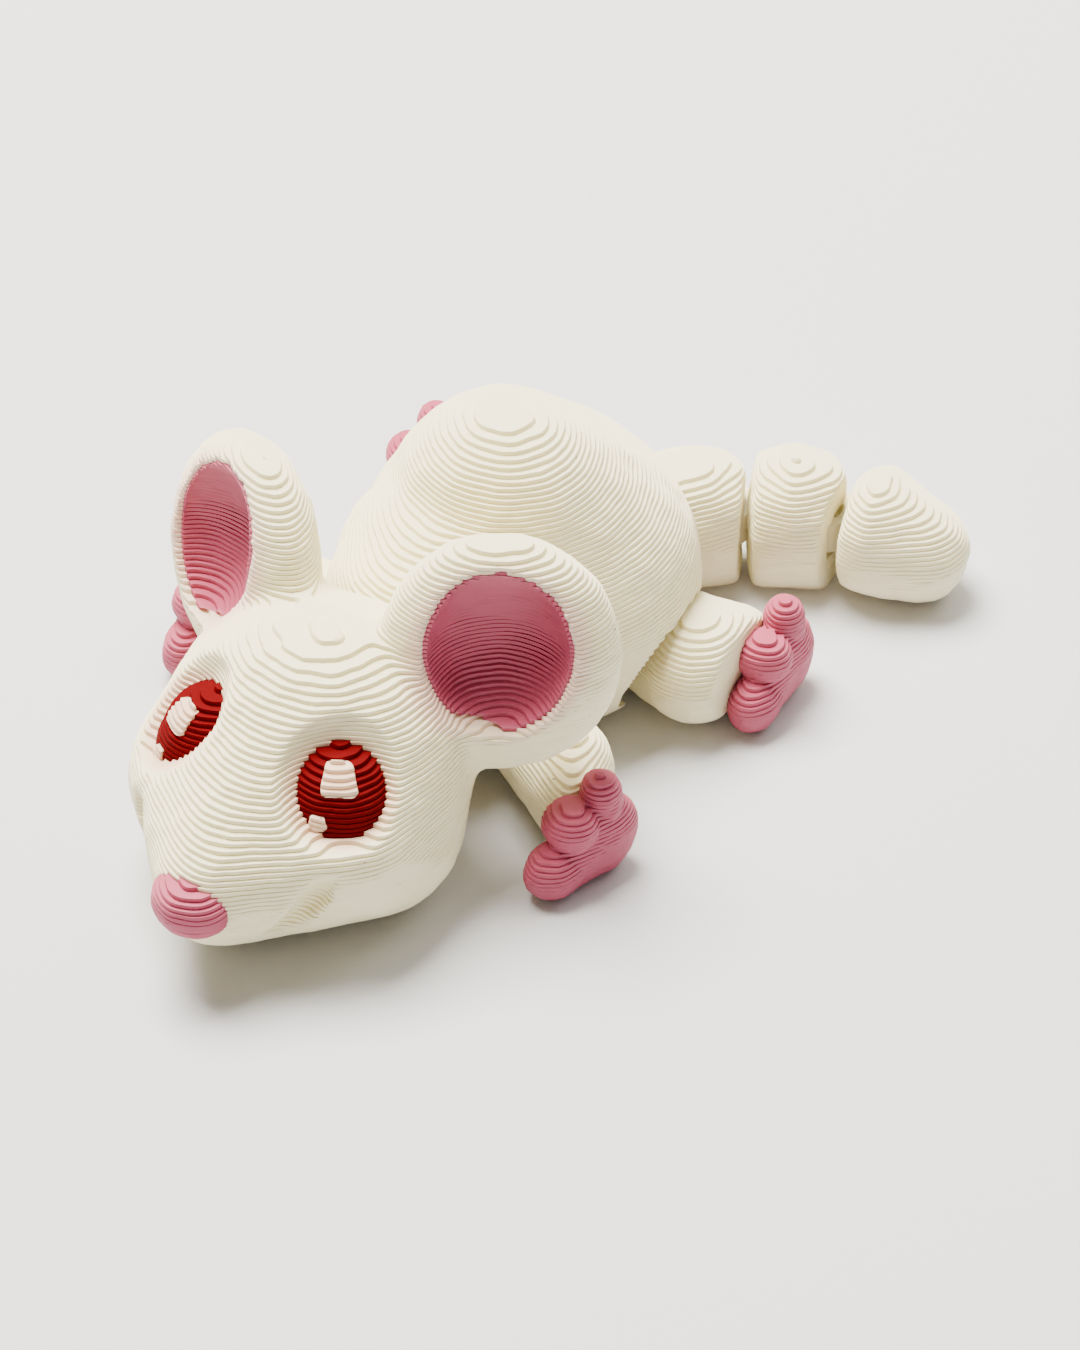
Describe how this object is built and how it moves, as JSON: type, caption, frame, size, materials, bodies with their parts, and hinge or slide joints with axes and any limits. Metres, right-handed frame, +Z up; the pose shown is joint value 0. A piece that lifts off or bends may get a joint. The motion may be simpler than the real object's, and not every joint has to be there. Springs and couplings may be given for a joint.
{
  "type": "articulated mouse figurine",
  "caption": "Small white printed mouse toy with pink ears, nose and paws, whose head, legs and tail segments swing on captive joints.",
  "frame": {"origin": "middle of the torso's flat belly, on the floor", "axes": "+Z up, the mouse faces -Y, its left side is +X"},
  "size_m": [0.0248, 0.0432, 0.0163],
  "materials": {
    "white_filament": "matte, layered print",
    "pink_filament": "matte, layered print",
    "red_filament": "matte, layered print"
  },
  "bodies": {
    "torso": {"torso": "white_filament"},
    "head": {"head": "white_filament", "nose": "pink_filament", "ear_lining_left": "pink_filament", "ear_lining_right": "pink_filament", "eye_left": "red_filament", "eye_right": "red_filament", "eye_highlight_left": "white_filament", "eye_highlight_right": "white_filament", "eye_glint_left": "white_filament", "eye_glint_right": "white_filament"},
    "front_left": {"front_leg_left": "white_filament", "front_paw_left": "pink_filament"},
    "front_right": {"front_leg_right": "white_filament", "front_paw_right": "pink_filament"},
    "hind_left": {"hind_leg_left": "white_filament", "hind_paw_left": "pink_filament"},
    "hind_right": {"hind_leg_right": "white_filament", "hind_paw_right": "pink_filament"},
    "tail_1": {"tail_segment_1": "white_filament"},
    "tail_2": {"tail_segment_2": "white_filament"},
    "tail_3": {"tail_tip": "white_filament"}
  },
  "joints": [
    {"name": "neck", "type": "hinge", "parent": "torso", "child": "head", "pos_m": [0, -0.00588, 0.0028], "axis": [0, 0, 1], "range_deg": [-26, 6]},
    {"name": "shoulder_left", "type": "hinge", "parent": "torso", "child": "front_left", "pos_m": [0.00518, -0.00476, 0.0028], "axis": [0, 0, 1], "range_deg": [-6, 26]},
    {"name": "shoulder_right", "type": "hinge", "parent": "torso", "child": "front_right", "pos_m": [-0.00518, -0.00476, 0.0028], "axis": [0, 0, 1], "range_deg": [-31, 1]},
    {"name": "hip_left", "type": "hinge", "parent": "torso", "child": "hind_left", "pos_m": [0.00588, 0.0035, 0.0028], "axis": [0, 0, 1], "range_deg": [-26, 6]},
    {"name": "hip_right", "type": "hinge", "parent": "torso", "child": "hind_right", "pos_m": [-0.00588, 0.0035, 0.0028], "axis": [0, 0, 1], "range_deg": [-13, 19]},
    {"name": "tail_root", "type": "hinge", "parent": "torso", "child": "tail_1", "pos_m": [0, 0.00728, 0.0028], "axis": [0, 0, 1], "range_deg": [-4, 64]},
    {"name": "tail_middle", "type": "hinge", "parent": "tail_1", "child": "tail_2", "pos_m": [0.00228, 0.01122, 0.0028], "axis": [0, 0, 1], "range_deg": [-2, 46]},
    {"name": "tail_end", "type": "hinge", "parent": "tail_2", "child": "tail_3", "pos_m": [0.00586, 0.01402, 0.0028], "axis": [0, 0, 1], "range_deg": [-6, 40]}
  ]
}
